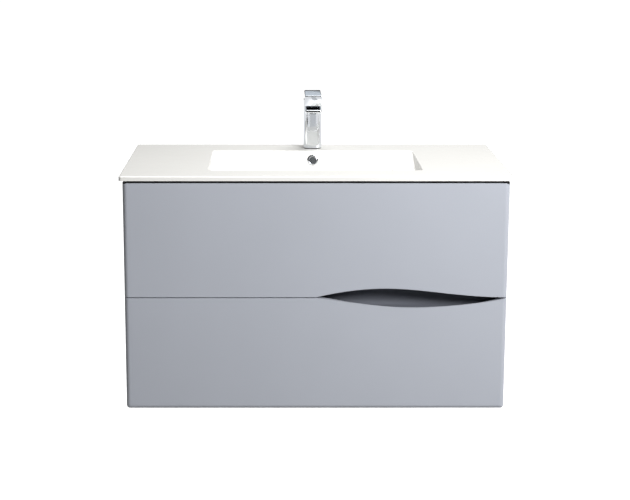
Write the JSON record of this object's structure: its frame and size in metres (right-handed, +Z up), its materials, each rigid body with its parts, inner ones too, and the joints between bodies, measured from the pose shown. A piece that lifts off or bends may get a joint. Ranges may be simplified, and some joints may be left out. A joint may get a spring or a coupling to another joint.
{
  "type": "bathroom vanity cabinet",
  "caption": "Wall-hung vanity cabinet with a ceramic washbasin, a single-lever tap and drawers that share a leaf-shaped finger grip between their fronts.",
  "frame": {"origin": "centre of the cabinet's width on the wall plane, at the underside of the bottom panel", "axes": "+X to the right seen from the front, +Y into the wall (the fronts face -Y), +Z up"},
  "size_m": [1.006, 0.465, 0.787],
  "materials": {
    "grey_lacquer": "satin grey lacquer on medium-density board",
    "grey_powder_coat": "fine matt powder coat on an aluminium profile",
    "white_melamine": "fine-textured white melamine",
    "glazed_ceramic": "white glazed sanitary ceramic",
    "chrome": "polished chrome plating on brass",
    "zinc_steel": "bright zinc plate",
    "nickel_zamak": "nickel-plated die casting",
    "grey_plastic": "fine matt grain",
    "white_plastic": "smooth white polypropylene",
    "black_rubber": "matt",
    "brass": "turned"
  },
  "bodies": {
    "cabinet": {"left_side_panel": "grey_lacquer", "right_side_panel": "grey_lacquer", "bottom_panel": "white_melamine", "front_top_rail": "white_melamine", "rear_top_rail": "white_melamine", "rear_bottom_rail": "white_melamine", "cam_fittings": "nickel_zamak", "hanger_cases": "grey_plastic", "hanger_hooks": "zinc_steel", "wall_plates": "zinc_steel", "cabinet_screws": "zinc_steel", "grip_channel": "grey_powder_coat", "washbasin": "glazed_ceramic", "overflow_ring": "chrome", "waste_flange": "chrome", "waste_gasket": "black_rubber", "waste_lock_nut": "brass", "trap_body": "white_plastic", "trap_cup": "white_plastic", "trap_inlet_pipe": "white_plastic", "trap_outlet_pipe": "white_plastic", "trap_nuts": "white_plastic", "tap_body": "chrome", "tap_aerator": "grey_plastic", "tap_base_seal": "black_rubber", "tap_stud": "zinc_steel", "tap_clamp_washer": "zinc_steel", "tap_clamp_nut": "brass", "tap_cartridge": "white_plastic", "lower_left_cabinet_rail": "zinc_steel", "lower_right_cabinet_rail": "zinc_steel", "upper_left_cabinet_rail": "zinc_steel", "upper_right_cabinet_rail": "zinc_steel"},
    "lower_middle_rails": {"lower_left_middle_rail": "zinc_steel", "lower_right_middle_rail": "zinc_steel"},
    "lower_drawer": {"lower_front": "grey_lacquer", "lower_left_side": "white_melamine", "lower_right_side": "white_melamine", "lower_bottom": "white_melamine", "lower_back": "white_melamine", "lower_front_fixings": "zinc_steel", "lower_release_clips": "grey_plastic", "lower_left_drawer_rail": "zinc_steel", "lower_right_drawer_rail": "zinc_steel"},
    "upper_middle_rails": {"upper_left_middle_rail": "zinc_steel", "upper_right_middle_rail": "zinc_steel"},
    "upper_drawer": {"upper_front": "grey_lacquer", "upper_left_side": "white_melamine", "upper_right_side": "white_melamine", "upper_bottom": "white_melamine", "upper_back": "white_melamine", "upper_front_fixings": "zinc_steel", "upper_release_clips": "grey_plastic", "upper_left_drawer_rail": "zinc_steel", "upper_right_drawer_rail": "zinc_steel", "upper_trap_bay": "white_melamine"},
    "tap_swivel": {"tap_rotor": "grey_plastic", "tap_pivot_pin": "zinc_steel"},
    "tap_lever": {"tap_lever": "chrome"},
    "waste_plug": {"waste_plug": "chrome"}
  },
  "joints": [
    {"name": "lower_drawer_slide", "type": "slide", "parent": "cabinet", "child": "lower_drawer", "axis": [0, -1, 0], "range_m": [0, 0.38]},
    {"name": "lower_runner_slide", "type": "slide", "parent": "cabinet", "child": "lower_middle_rails", "axis": [0, -1, 0], "range_m": [0, 0.19]},
    {"name": "upper_drawer_slide", "type": "slide", "parent": "cabinet", "child": "upper_drawer", "axis": [0, -1, 0], "range_m": [0, 0.38]},
    {"name": "upper_runner_slide", "type": "slide", "parent": "cabinet", "child": "upper_middle_rails", "axis": [0, -1, 0], "range_m": [0, 0.19]},
    {"name": "tap_swivel_turn", "type": "hinge", "parent": "cabinet", "child": "tap_swivel", "pos_m": [0, -0.048, 0.754], "axis": [0, 0, 1], "range_deg": [-45, 45]},
    {"name": "tap_lever_tilt", "type": "hinge", "parent": "tap_swivel", "child": "tap_lever", "pos_m": [0, -0.048, 0.754], "axis": [-1, 0, 0], "range_deg": [0, 24]},
    {"name": "waste_plug_rise", "type": "slide", "parent": "cabinet", "child": "waste_plug", "axis": [0, 0, 1], "range_m": [0, 0.008]}
  ],
  "couplings": [
    {"joint": "lower_runner_slide", "follows": "lower_drawer_slide", "ratio": 0.5},
    {"joint": "upper_runner_slide", "follows": "upper_drawer_slide", "ratio": 0.5}
  ]
}
